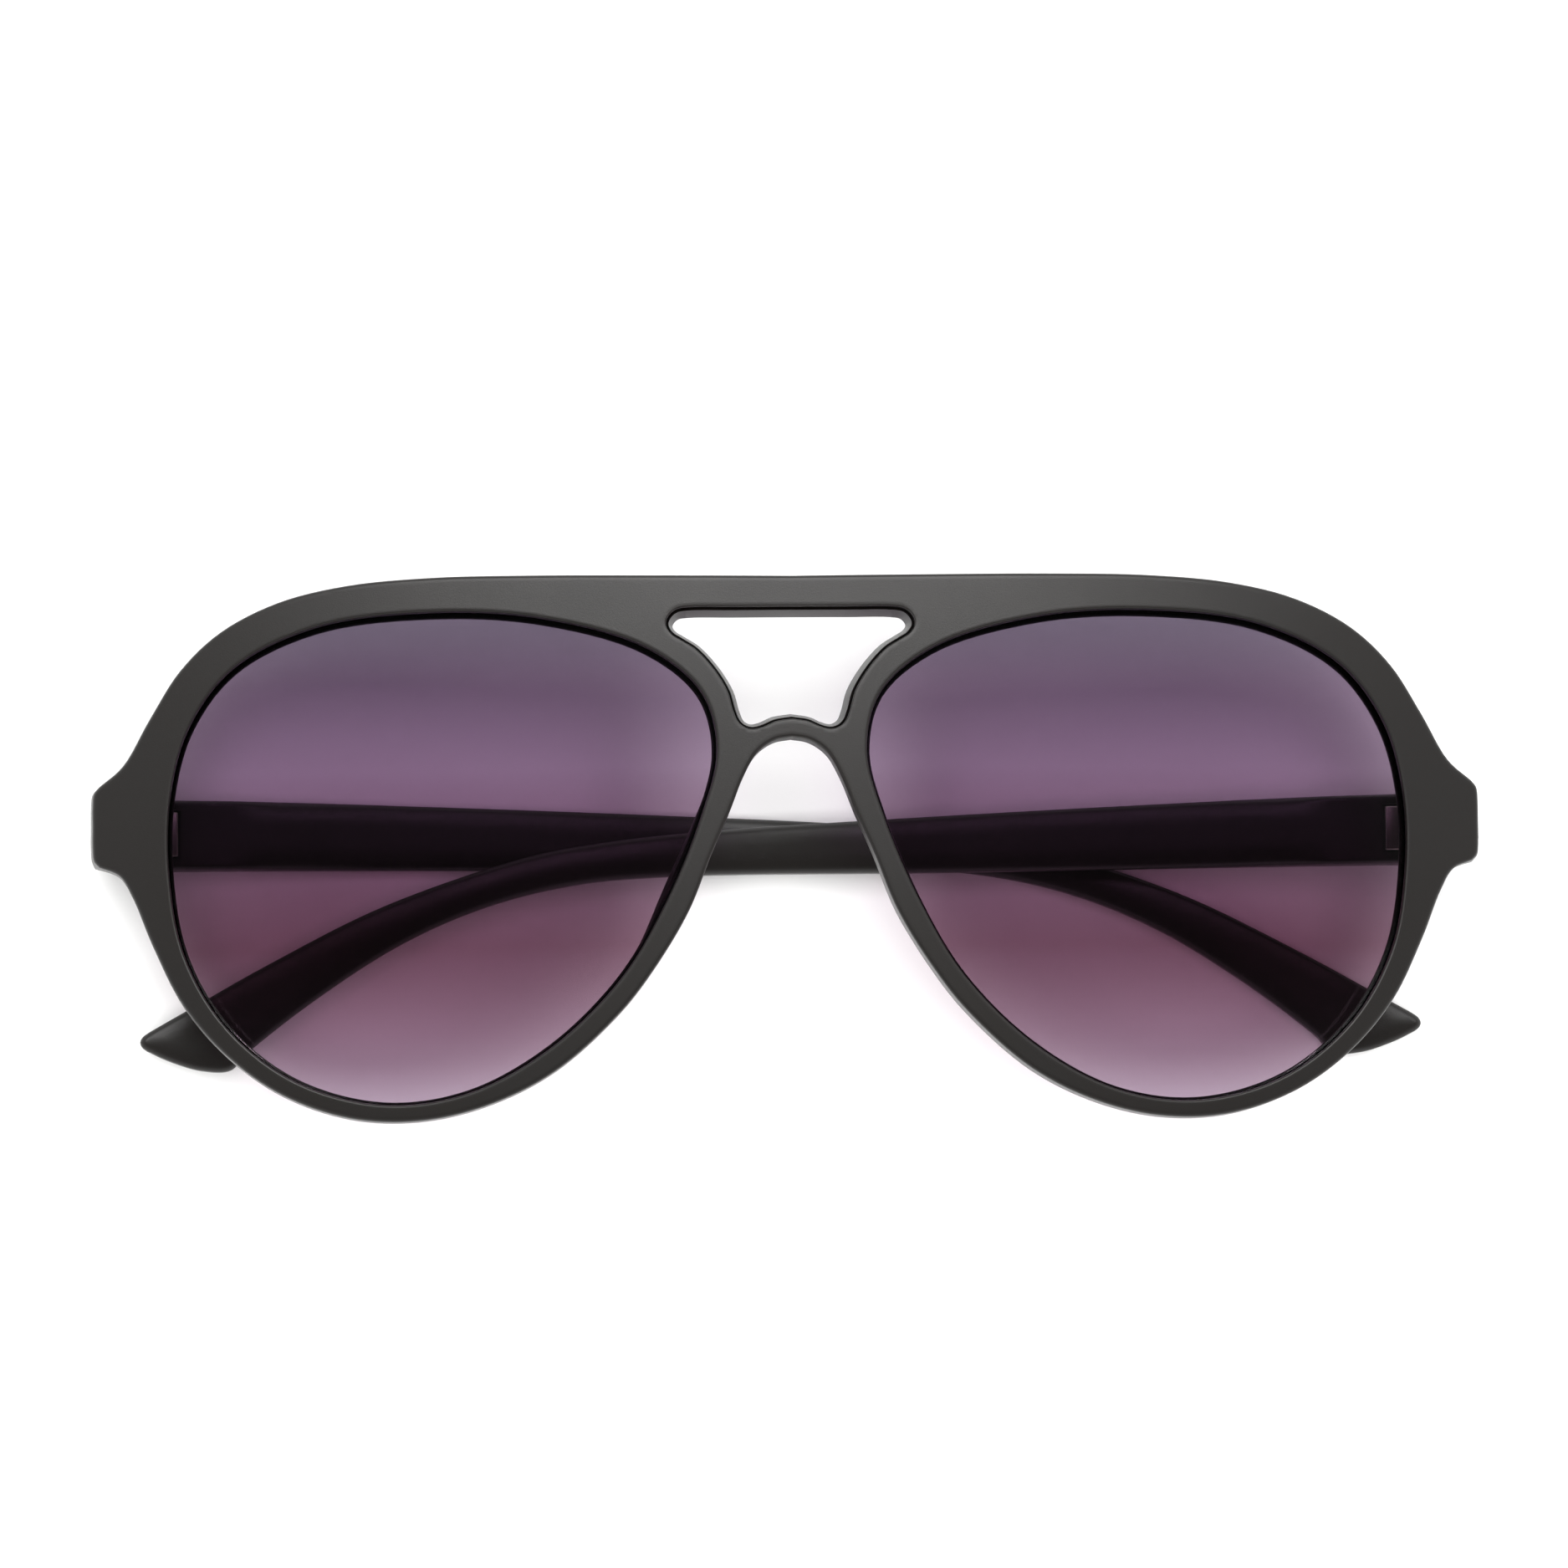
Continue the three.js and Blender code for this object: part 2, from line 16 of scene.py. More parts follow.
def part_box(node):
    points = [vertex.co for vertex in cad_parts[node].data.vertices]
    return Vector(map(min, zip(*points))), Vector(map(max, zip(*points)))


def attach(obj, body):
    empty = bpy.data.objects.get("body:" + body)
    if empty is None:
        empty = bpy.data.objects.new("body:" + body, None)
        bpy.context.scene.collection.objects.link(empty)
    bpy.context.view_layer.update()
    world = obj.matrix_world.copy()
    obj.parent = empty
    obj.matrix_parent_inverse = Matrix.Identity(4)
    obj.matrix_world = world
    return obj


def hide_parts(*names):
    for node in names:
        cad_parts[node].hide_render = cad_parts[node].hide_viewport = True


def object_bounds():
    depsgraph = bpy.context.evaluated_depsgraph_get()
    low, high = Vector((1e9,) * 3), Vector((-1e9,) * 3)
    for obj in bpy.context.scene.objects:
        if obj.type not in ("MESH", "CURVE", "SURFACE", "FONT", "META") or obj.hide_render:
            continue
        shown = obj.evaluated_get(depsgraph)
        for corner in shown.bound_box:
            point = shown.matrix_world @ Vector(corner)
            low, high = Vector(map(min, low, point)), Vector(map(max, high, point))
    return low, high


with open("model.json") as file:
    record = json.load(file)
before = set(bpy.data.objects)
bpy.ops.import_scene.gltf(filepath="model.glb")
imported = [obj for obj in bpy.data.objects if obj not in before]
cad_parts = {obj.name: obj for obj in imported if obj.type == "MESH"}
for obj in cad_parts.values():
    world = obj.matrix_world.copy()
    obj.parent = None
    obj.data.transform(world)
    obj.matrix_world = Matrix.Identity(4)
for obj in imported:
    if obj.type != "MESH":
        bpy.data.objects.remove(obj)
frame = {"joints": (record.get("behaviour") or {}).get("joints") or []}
CAD_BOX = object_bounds()

bl_info = {
    "name": "Aviator Sunglasses",
    "version": (1, 0, 0),
    "blender": (4, 5, 0),
    "location": "3D View > Sidebar > Sunglasses",
    "description": "Builds folded double-bridge aviator sunglasses round their hinges",
    "category": "Object",
}

MM = 0.001
AXES = {joint["child"]: Vector(joint["pos_m"]) / MM for joint in frame["joints"]}
LEFT_AXIS = AXES["temple_left"]
RIGHT_AXIS = AXES["temple_right"]
HINGE_X = (LEFT_AXIS - RIGHT_AXIS).length / 2
HINGE_Y = LEFT_AXIS.y
SIDES = {"left": 1, "right": -1}

# Half outlines of the front, from the centre line outwards, and back again.
BROW = [
    (0, 28.0), (14, 28.15), (27, 28.3), (37, 28.25), (45.8, 27.6), (52.9, 26.0),
    (58.8, 23.1), (63.0, 19.2), (66.2, 14.2), (69.0, 9.4), (71.5, 7.3),
]
ENDPIECE_END = [
    (71.5, 7.3), (72.05, 6.6), (72.2, 5.2), (72.2, 3.1), (72.2, 1.0), (72.05, -0.4), (71.5, -1.05),
]
CHEEK = [
    (71.5, -1.05), (69.4, -2.0), (68.0, -4.3), (66.0, -9.2), (62.8, -15.6),
    (58.4, -20.8), (52.6, -25.0), (45.6, -27.5), (38.6, -27.88), (31.6, -26.4),
    (24.6, -23.0), (17.8, -17.0), (14.0, -12.1), (10.7, -6.6), (8.4, -0.9),
    (6.6, 3.2), (5.0, 7.2), (3.6, 9.6), (1.8, 10.85), (0, 11.2),
]
LENS_OUTLINE = [
    (37, 24.15), (48.75, 22.9), (57.15, 18.95), (61.6, 13.2), (63.55, 6.4),
    (63.75, -2), (62.2, -10.35), (58.0, -17.6), (51, -23.2), (42.1, -25.7),
    (33.5, -24.6), (25.1, -20.05), (18.0, -13.1), (13.6, -5.75), (9.9, 3.05),
    (8.2, 9.9), (9.6, 15.6), (15, 20.15), (25.7, 23.35),
]
WINDOW = [
    (0, 24.0), (6, 24.0), (10.5, 24.0), (11.55, 23.8), (12.05, 23.15), (11.75, 22.6),
    (10.9, 22.05), (9.3, 21.0), (7.3, 18.75), (5.85, 16.3), (5.25, 14.2), (4.8, 13.2),
    (4.15, 12.85), (3.3, 13.0), (1.9, 13.6), (0, 13.9),
]
# Outline of a temple, with the distance from its hinge axis first.
TEMPLE_START = 0.15
TEMPLE_TOP = [
    (TEMPLE_START, 6.75), (20, 6.25), (57, 4.6), (75, 3.55), (86, 2.45),
    (94, 1.0), (109, -4.0), (121, -9.9), (129.5, -14.6), (133.6, -16.9),
]
TEMPLE_TIP = [(133.6, -16.9), (134.35, -17.45), (134.6, -18.0), (134.4, -18.5), (133.9, -18.9)]
TEMPLE_BOTTOM = [
    (133.9, -18.9), (131.8, -19.9), (128.3, -21.0), (125.2, -21.0), (123.4, -19.2),
    (115.8, -13.4), (106.8, -7.8), (98, -4.1), (88.6, -1.9), (79, -1.15),
    (50, -1.0), (20, -0.75), (TEMPLE_START, -0.65),
]


def length(name, value, description):
    """A size property whose default is given in millimetres."""
    return bpy.props.FloatProperty(
        name=name, description=description, default=value * MM, min=0, unit="LENGTH", precision=5
    )


def angle(name, value, description):
    return bpy.props.FloatProperty(
        name=name, description=description, default=math.radians(value), subtype="ANGLE"
    )


def linear(hex_colour):
    """An sRGB hex colour as linear numbers."""
    parts = [int(hex_colour[i : i + 2], 16) / 255 for i in (1, 3, 5)]
    return [p / 12.92 if p <= 0.04045 else ((p + 0.055) / 1.055) ** 2.4 for p in parts]


def colour(name, hex_colour, description):
    return bpy.props.FloatVectorProperty(
        name=name, description=description, default=linear(hex_colour), subtype="COLOR", size=3, min=0, max=1
    )


class SunglassesSizes(bpy.types.PropertyGroup):
    """Sizes of the moulded front, the lenses, the temples and the hinges."""

    front_thickness: length("Front thickness", 4.2, "From the front face to the back face")
    front_height: length("Front height", 20.4, "From the hinge axes to the middle of the front face")
    wrap_radius: length("Wrap radius", 220, "Curvature of the front across the face")
    drop_radius: length("Drop radius", 300, "Curvature of the front from brow to cheek")
    edge_round: length("Edge rounding", 0.35, "Rounding of the long edges")
    rim_chamfer: length("Rim chamfer", 0.5, "How far a rim opens out in front of its lens")
    window_step: length("Window step", 1.2, "Depth of the straight part of the window's wall")
    window_draft: length("Window draft", 0.8, "How much narrower the window is at the back")
    lens_thickness: length("Lens thickness", 1.8, "Thickness of a lens")
    lens_bevel: length("Lens bevel", 0.5, "How far the edge of a lens reaches into its groove")
    groove_width: length("Groove width", 2.3, "Width of the lens groove")
    groove_depth: length("Groove depth", 0.8, "Depth of the lens groove")
    pad_height: length("Nose pad height", 5.4, "How far a nose pad stands out of the back of the rim")
    pad_reach: length("Nose pad reach", 8.4, "Half the length of a nose pad along the rim")
    temple_axis_height: length("Hinge axis height", 5.5, "Hinge axis above the outer face of a temple")
    temple_thickness: length("Temple thickness", 2.6, "Thickness of a temple along its length")
    temple_crown: length("Temple crown", 0.45, "How far the inner face of a temple falls to its edges")
    hinge_inset: length("Hinge inset", 1.35, "From the hinge axis to the inner face of temple and endpiece")
    barrel_radius: length("Barrel radius", 1.15, "Radius of the hinge knuckles")
    screw_radius: length("Screw radius", 0.55, "Radius of the hinge screw")


class SunglassesFinish(bpy.types.PropertyGroup):
    """Colours of the finishes."""

    frame_black: colour("Frame black", "#171412", "Soft-touch paint on the front and the temples")
    frame_shade: colour("Frame shade", "#12100f", "Darker cloud of the same paint")
    lens_brow: colour("Lens at the brow", "#b0a8b5", "What each face of a lens lets through at its top")
    lens_upper: colour("Lens below the brow", "#c1b4c3", "What each face lets through below the brow")
    lens_middle: colour("Lens above the middle", "#cec1cf", "What each face lets through above the middle")
    # The stop below the middle is darker than its neighbours: the lens's rose tint with painted shade of the
    # temples' shadows on the floor behind the lens.
    lens_rose_and_temple_shadow: colour("Lens below the middle", "#bea8b4", "What each face lets through below the middle")
    lens_blush: colour("Lens above the cheek", "#d0c1cc", "What each face lets through above the cheek")
    lens_cheek: colour("Lens at the cheek", "#ded5de", "What each face lets through at its bottom")
    nickel: colour("Hinge nickel", "#b5b0a8", "Tumbled nickel silver of the hinges")
    floor: colour("Floor", "#f4f4f3", "Pale floor under the sunglasses")


class SunglassesStage(bpy.types.PropertyGroup):
    """Where the camera stands."""

    lean_down: angle("Lean to the cheek", 4.5, "Lean of the camera from overhead towards the cheeks")
    lean_right: angle("Lean to the right hinge", 3.8, "Lean of the camera towards the wearer's right")
    roll: angle("Roll", 0.5, "Turn of the picture")
    distance: length("Distance", 950, "From the camera to the middle of the picture")
    view_width: length("View width", 162.4, "Width of the picture at the sunglasses")


def size(name):
    """A size in millimetres."""
    return getattr(bpy.context.scene.sunglasses_sizes, name) / MM


def finish_colour(name):
    return (*getattr(bpy.context.scene.sunglasses_finish, name), 1)


# ---------------------------------------------------------------- outlines


def between(t, low, high, start, end):
    return ((high - t) * start + (t - low) * end) / (high - low)


def smooth(points, steps, closed=False):
    """A smooth run through the points, with so many steps from each one to the next."""
    run = [Vector(p) for p in points]
    if closed:
        run = [run[-1], *run, run[0], run[1]]
    else:
        run = [2 * run[0] - run[1], *run, 2 * run[-1] - run[-2]]
    made = []
    for stretch in zip(run, run[1:], run[2:], run[3:]):
        knots = [0.0]
        for p, q in zip(stretch, stretch[1:]):
            knots.append(knots[-1] + math.sqrt((q - p).length))
        for step in range(steps):
            t = knots[1] + (knots[2] - knots[1]) * step / steps
            level = list(stretch)
            for span in (1, 2, 3):
                first = (0, 0, 1)[span - 1]
                wide = (1, 2, 1)[span - 1]
                level = [
                    between(t, knots[i + first], knots[i + first + wide], level[i], level[i + 1])
                    for i in range(len(level) - 1)
                ]
            made.append(level[0])
    return made if closed else [*made, run[-2]]


def both_halves(half):
    """A closed outline from a half that starts and ends on the centre line, counter-clockwise."""
    right = [Vector((-p.x, p.y)) for p in half]
    return [*right, *reversed(half[1:-1])]


def into_material(outline, hole):
    """For each point of a counter-clockwise outline, the step into the material per millimetre of inset."""
    steps = []
    for before, here, after in zip([outline[-1], *outline], outline, [*outline[1:], outline[0]]):
        came = (here - before).normalized()
        goes = (after - here).normalized()
        left = Vector((-came.y - goes.y, came.x + goes.x)).normalized()
        widen = 1 / max(0.6, left.dot(Vector((-goes.y, goes.x))))
        steps.append(left * (-widen if hole else widen))
    return steps


# ---------------------------------------------------------------- walls and faces


def ring(bm, places):
    """A closed ring of new vertices and edges."""
    made = [bm.verts.new(place) for place in places]
    for a, b in zip(made, made[1:] + made[:1]):
        bm.edges.new((a, b))
    return made


def edges_of(bm, verts):
    return [bm.edges.get(pair) for pair in zip(verts, verts[1:] + verts[:1])]


def extruded(bm, verts, places):
    """Extrudes a ring and moves its copy to the given places."""
    made = bmesh.ops.extrude_edge_only(bm, edges=edges_of(bm, verts))["geom"]
    fresh = {v for v in made if isinstance(v, bmesh.types.BMVert)}
    copies = []
    for vert, place in zip(verts, places):
        copy = next(e.other_vert(vert) for e in vert.link_edges if e.other_vert(vert) in fresh)
        copy.co = place
        copies.append(copy)
    return copies


def wall(bm, outline, profile, hole=False):
    """Sweeps a profile of (inset, depth) round an outline. Returns the edges of its first and last ring."""
    into = into_material(outline, hole)
    rings = []
    for inset, depth in profile:
        places = [Vector((*(p + n * inset), -depth)) for p, n in zip(outline, into)]
        rings.append(extruded(bm, rings[-1], places) if rings else ring(bm, places))
    return edges_of(bm, rings[0]), edges_of(bm, rings[-1])


def moulding(walls):
    """A flat moulding: walls of (outline, profile, is it a hole), closed by a front and a back face."""
    bm = bmesh.new()
    ends = [wall(bm, *each) for each in walls]
    for side in (0, 1):
        rim = [edge for end in ends for edge in end[side]]
        bmesh.ops.triangle_fill(bm, edges=rim, use_beauty=True, normal=(0, 0, 1 - 2 * side))
    bmesh.ops.recalc_face_normals(bm, faces=bm.faces)
    return bm


def eased(radius, steps=5):
    """A quarter round from the face down to the side, as (inset, depth)."""
    turns = [math.pi / 2 * i / steps for i in range(steps + 1)]
    return [(radius * (1 - math.sin(a)), radius * (1 - math.cos(a))) for a in turns]


def from_back(profile, thickness):
    """The same profile seen from the back face."""
    return [(inset, thickness - depth) for inset, depth in reversed(profile)]


def sliced(bm, axis, levels):
    """Cuts every face along planes across an axis, so that it can bend there."""
    for level in levels:
        place = Vector((0, 0, 0))
        place[axis] = level
        normal = Vector((0, 0, 0))
        normal[axis] = 1
        everything = [*bm.verts, *bm.edges, *bm.faces]
        bmesh.ops.bisect_plane(bm, geom=everything, dist=1e-4, plane_co=place, plane_no=normal)


def steps_between(low, high, pitch):
    count = round((high - low) / pitch)
    return [low + (high - low) * i / count for i in range(count + 1)]


def smoothstep(value, low, high):
    t = min(1.0, max(0.0, (value - low) / (high - low)))
    return t * t * (3 - 2 * t)


def placed(bm, name, matrix):
    """The finished mesh as an object, moved by `matrix` and turned to metres."""
    bmesh.ops.transform(bm, matrix=Matrix.Scale(MM, 4) @ matrix, verts=bm.verts)
    if matrix.determinant() < 0:
        bmesh.ops.reverse_faces(bm, faces=bm.faces)
    mesh = bpy.data.meshes.new(name)
    bm.to_mesh(mesh)
    bm.free()
    piece = bpy.data.objects.new(name, mesh)
    bpy.context.scene.collection.objects.link(piece)
    return piece


def boolean(piece, tool, operation):
    """Cuts a piece by a tool, or joins it, and uses the tool up."""
    modifier = piece.modifiers.new(operation.title(), "BOOLEAN")
    modifier.operation = operation
    modifier.solver = "EXACT"
    modifier.object = tool
    bpy.context.view_layer.update()
    solid = bpy.data.meshes.new_from_object(piece.evaluated_get(bpy.context.evaluated_depsgraph_get()))
    piece.modifiers.clear()
    piece.data = solid
    bpy.data.objects.remove(tool)


def dressed(piece, material, crease=35):
    """Smooth shading up to an angle in degrees, and one finish."""
    piece.data.shade_smooth()
    piece.data.set_sharp_from_angle(angle=math.radians(crease))
    piece.data.materials.clear()
    piece.data.materials.append(material)
    return piece


def block(low, high, round_by=0.0, segments=3):
    """A box given by its lowest and highest corner, with rounded edges."""
    bm = bmesh.new()
    bmesh.ops.create_cube(bm, size=1)
    low, high = Vector(low), Vector(high)
    bmesh.ops.scale(bm, vec=high - low, verts=bm.verts)
    bmesh.ops.translate(bm, vec=(low + high) / 2, verts=bm.verts)
    if round_by:
        bmesh.ops.bevel(
            bm, geom=bm.edges[:], offset=round_by, affect="EDGES", segments=segments, profile=0.5, material=-1
        )
    return bm


# ---------------------------------------------------------------- front and lenses


def front_place():
    """From the frame of the front, with the hinge axes at its height zero, to the folded sunglasses."""
    across = (LEFT_AXIS - RIGHT_AXIS).normalized()
    brow = Vector((0, 1, 0))
    middle = (LEFT_AXIS + RIGHT_AXIS) / 2
    turn = Matrix((across, brow, across.cross(brow))).transposed().to_4x4()
    return Matrix.Translation((middle.x, 0, middle.z)) @ turn


def fallback(x, y):
    """How far the wrapped front falls back from the plane of its middle."""
    wrap, drop = size("wrap_radius"), size("drop_radius")
    return wrap - math.sqrt(wrap**2 - x * x) + drop - math.sqrt(drop**2 - y * y)


def lens_outline(side):
    outline = smooth(LENS_OUTLINE, 9, closed=True)
    if side > 0:
        return outline[::-1]
    return [Vector((-p.x, p.y)) for p in outline]


# The seat of a lens: the lip in front of it, its groove and the ledge behind it.
FACE_MARGIN = 0.45
LIP_ROUND = 0.25
LIP_DRAFT = 0.06
GROOVE_DRAFT = 0.05
LEDGE_INSET = 0.05
LEDGE_SLOPE = 0.1


def rim_profile():
    """From the front face down to the lens groove and out over the ledge behind the lens."""
    thickness, lip, depth = size("front_thickness"), size("rim_chamfer"), size("groove_depth")
    top = thickness / 2 - size("groove_width") / 2
    bottom = thickness - top
    rounded = [(lip + inset, fall) for inset, fall in eased(LIP_ROUND, 4)]
    front = [(lip + FACE_MARGIN, 0), *rounded, (lip - LIP_DRAFT, top)]
    groove = [(depth, top + GROOVE_DRAFT), (depth, bottom - GROOVE_DRAFT)]
    ledge = [(LEDGE_INSET + LEDGE_SLOPE, bottom), (LEDGE_INSET, bottom + LEDGE_SLOPE)]
    edge = size("edge_round")
    behind = from_back([(edge + FACE_MARGIN, 0), *eased(edge)], thickness)
    back = [(LEDGE_INSET + inset, fall) for inset, fall in behind]
    return [*front, *groove, *ledge, *back]


# The parting groove in the wall of the window.
WINDOW_ROUND = 0.15
PARTING_DEPTH = 0.65
PARTING_WIDTH = 0.22
PARTING_SLOPE = 0.08


def window_profile():
    """A straight step from the front face, a fine parting groove, and a drafted wall to the back."""
    thickness, draft, step = size("front_thickness"), size("window_draft"), size("window_step")
    front = [(draft + 0.5, 0), *[(draft + inset, fall) for inset, fall in eased(WINDOW_ROUND, 4)]]
    groove = [
        (draft, step + PARTING_DEPTH - 0.05),
        (draft - PARTING_SLOPE, step + PARTING_DEPTH),
        (draft - PARTING_WIDTH, step),
        (draft - PARTING_WIDTH - PARTING_SLOPE, step - 0.03),
    ]
    back = [(0, thickness - 0.2), *from_back([(0.45, 0), *eased(WINDOW_ROUND, 3)], thickness)]
    return [*front, *groove, *back]


def outer_profile():
    thickness, edge = size("front_thickness"), size("edge_round")
    front = [(edge + 0.3, 0), *eased(edge)]
    side = [(0, thickness * share) for share in (0.5, 0.6, 0.7, 0.8)]
    return [*front, *side, *from_back(front, thickness)]


# The endpieces' returns towards the hinges, and the nose pads.
RETURN_MIDDLE = HINGE_Y
RETURN_HALF = 3.85
RETURN_TURN = 0.12
ENDPIECE_FLARE = 0.25
FLARE_DEPTH = (0.3, 2.8)
FLARE_WIDTH = (70.9, 71.6)
PAD_PLACE = Vector((11.0, -3.4))
PAD_LEAN = math.radians(29)
PAD_SPLAY = math.tan(math.radians(5))
PAD_BREADTH = 6
PAD_FULLNESS = 1.3


def drop_of_return(x, y):
    """How far the back of the endpiece stands out towards the hinge."""
    wall_x = HINGE_X + size("hinge_inset")
    full = size("front_height") - size("front_thickness") - fallback(x, y)
    over_x = smoothstep(abs(x), wall_x - RETURN_TURN, wall_x + RETURN_TURN)
    over_y = 1 - smoothstep(abs(y - RETURN_MIDDLE), RETURN_HALF - RETURN_TURN, RETURN_HALF + RETURN_TURN)
    return full * over_x * over_y


def drop_of_pad(x, y):
    """How far the nose pad stands out of the back of the rim."""
    offset = Vector((abs(x), y)) - PAD_PLACE
    along = offset.dot(Vector((-math.sin(PAD_LEAN), math.cos(PAD_LEAN))))
    across = offset.dot(Vector((math.cos(PAD_LEAN), math.sin(PAD_LEAN))))
    if abs(along) >= size("pad_reach") or abs(across) > PAD_BREADTH:
        return 0.0
    return size("pad_height") * math.cos(math.pi / 2 * along / size("pad_reach")) ** PAD_FULLNESS


def shaped_front(bm):
    """Draws endpiece returns and nose pads out of the back, and wraps the front."""
    thickness, height = size("front_thickness"), size("front_height")
    straight = thickness / 2 - size("edge_round")
    outward = Vector((math.cos(PAD_LEAN), math.sin(PAD_LEAN)))
    for vert in bm.verts:
        x, y, z = vert.co
        share = min(1.0, max(0.0, (-z - thickness / 2) / straight))
        flare = ENDPIECE_FLARE * smoothstep(-z, *FLARE_DEPTH) * smoothstep(abs(x), *FLARE_WIDTH)
        pad = drop_of_pad(x, y) * share
        splay = pad * PAD_SPLAY * share
        z += height - fallback(x, y) - drop_of_return(x, y) * share - pad
        vert.co = (x + math.copysign(splay * outward.x + flare, x), y + splay * outward.y, z)


def build_front(material):
    half = [*smooth(BROW, 6)[:-1], *smooth(ENDPIECE_END, 5)[:-1], *smooth(CHEEK, 8)]
    walls = [
        (both_halves(half), outer_profile(), False),
        (both_halves(smooth(WINDOW, 5)), window_profile(), True),
        (lens_outline(1), rim_profile(), True),
        (lens_outline(-1), rim_profile(), True),
    ]
    bm = moulding(walls)
    turn = HINGE_X + size("hinge_inset")
    bends = [turn + RETURN_TURN * share for share in (-1, -0.4, 0.4, 1)]
    edges = [
        RETURN_MIDDLE + side * (RETURN_HALF + RETURN_TURN * share)
        for side in (-1, 1)
        for share in (-1, 0, 1)
    ]
    sliced(bm, 0, [*steps_between(-71, 71, 2.5), *bends, *[-x for x in bends]])
    sliced(bm, 1, [*steps_between(-27, 27, 3), *edges])
    shaped_front(bm)
    piece = placed(bm, "moulded_front", front_place())
    for side in SIDES.values():
        low = (turn - POCKET_DEEP, HINGE_Y - POCKET_HALF, -FRONT_POCKET_LEAD)
        high = (turn + POCKET_DEEP, HINGE_Y + POCKET_HALF, FRONT_LEAF_END + POCKET_GAP)
        mirror = Matrix.Diagonal((side, 1, 1, 1))
        boolean(piece, placed(block(low, high), "pocket", front_place() @ mirror), "DIFFERENCE")
    dressed(piece, material)
    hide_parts("front_frame")
    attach(piece, "front")


LENS_RINGS = 16


def build_lens(name, side, material):
    """A lens of concentric rings, so that its two curved faces shade evenly."""
    half, bevel = size("lens_thickness") / 2, size("lens_bevel")
    outline = lens_outline(side)
    into = into_material(outline, hole=True)
    middle = sum(outline, Vector((0, 0))) / len(outline)
    bm = bmesh.new()
    rings = []
    edge = [
        (bevel, half),
        (bevel + 0.1, half - 0.05),
        (bevel + 0.2, half - 0.3),
        (bevel + 0.2, 0),
        (bevel / 2, -half),
    ]
    for out, level in edge:
        places = [Vector((*(p + n * out), level)) for p, n in zip(outline, into)]
        rings.append(extruded(bm, rings[-1], places) if rings else ring(bm, places))
    shrink = [0.97, *[1 - i / LENS_RINGS for i in range(1, LENS_RINGS)]]
    for start, level in ((rings[0], half), (rings[-1], -half)):
        last = start
        for share in shrink:
            places = [Vector((*middle.lerp(p, share), level)) for p in outline]
            last = extruded(bm, last, places)
        cap = bmesh.ops.contextual_create(bm, geom=edges_of(bm, last))["faces"]
        bmesh.ops.poke(bm, faces=cap)
    bmesh.ops.recalc_face_normals(bm, faces=bm.faces)
    for vert in bm.verts:
        x, y, z = vert.co
        vert.co.z = z - size("front_thickness") / 2 + size("front_height") - fallback(x, y)
    piece = dressed(placed(bm, f"tinted_lens_{name}", front_place()), material, crease=20)
    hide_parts(f"lens_{name}")
    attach(piece, "front")


# ---------------------------------------------------------------- temples


# A temple's turn about the upright axis, as play in its hinge.
TEMPLE_PLAY = math.radians(0.33)
# Where a temple thins behind its hinge and towards its tip, and where its crown starts.
THICK_END = (8, 29)
TIP_END = (90, 134)
TIP_THICKNESS = 2.2
CROWN_WIDTH = 1.9
CROWN_START = (9, 14)


def temple_place(name):
    """From the frame of a hinge, with the temple along +X, to the folded sunglasses."""
    axis = AXES[f"temple_{name}"]
    play = Matrix.Rotation(TEMPLE_PLAY, 4, "Z")
    return Matrix.Translation((axis.x, 0, axis.z)) @ play @ Matrix.Diagonal((-SIDES[name], 1, 1, 1))


def temple_thickness(u):
    """Thickness along the temple: a thick hinge end, an even bar and a slightly thinner tip."""
    thick = size("temple_axis_height") - size("hinge_inset")
    bar = size("temple_thickness")
    body = thick + (bar - thick) * smoothstep(u, *THICK_END)
    return body + (TIP_THICKNESS - body) * smoothstep(u, *TIP_END)


def build_temple(name, material):
    outline = [*smooth(TEMPLE_TOP, 10)[:-1], *smooth(TEMPLE_TIP, 4)[:-1], *smooth(TEMPLE_BOTTOM, 10)][::-1]
    bar, crown = size("temple_thickness"), size("temple_crown")
    inner = [(0.62, 0), *eased(0.45)]
    outer = from_back([(0.8, 0), *eased(0.5)], bar)
    bm = moulding([(outline, [*inner, *outer], False)])
    sliced(bm, 0, [*steps_between(1.5, 90, 1.5), *steps_between(91, 134, 1)])
    sliced(bm, 1, steps_between(-20.5, 6.5, 0.75))
    border = [a.lerp(b, i / 12) for a, b in zip(outline, [*outline[1:], outline[0]]) for i in range(12)]
    tree = KDTree(len(border))
    for index, point in enumerate(border):
        tree.insert((point.x, point.y, 0), index)
    tree.balance()
    for vert in bm.verts:
        x, y, z = vert.co
        share = (z + bar) / bar
        from_edge = min(CROWN_WIDTH, tree.find((x, y, 0))[2])
        fall = crown * (1 - from_edge / CROWN_WIDTH) ** 2
        z -= fall * smoothstep(x, *CROWN_START) * smoothstep(share, 0.5, 1)
        vert.co.z = (z + bar) * temple_thickness(x) / bar - size("temple_axis_height")
    piece = placed(bm, f"temple_arm_{name}", temple_place(name))
    inset = size("hinge_inset")
    low = (-TEMPLE_POCKET_LEAD, HINGE_Y - POCKET_HALF, -inset - POCKET_DEEP)
    high = (TEMPLE_LEAF_END + POCKET_GAP, HINGE_Y + POCKET_HALF, -inset + POCKET_DEEP)
    boolean(piece, placed(block(low, high), "pocket", temple_place(name)), "DIFFERENCE")
    dressed(piece, material)
    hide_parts(f"temple_{name}")
    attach(piece, f"temple_{name}")


# ---------------------------------------------------------------- hinges


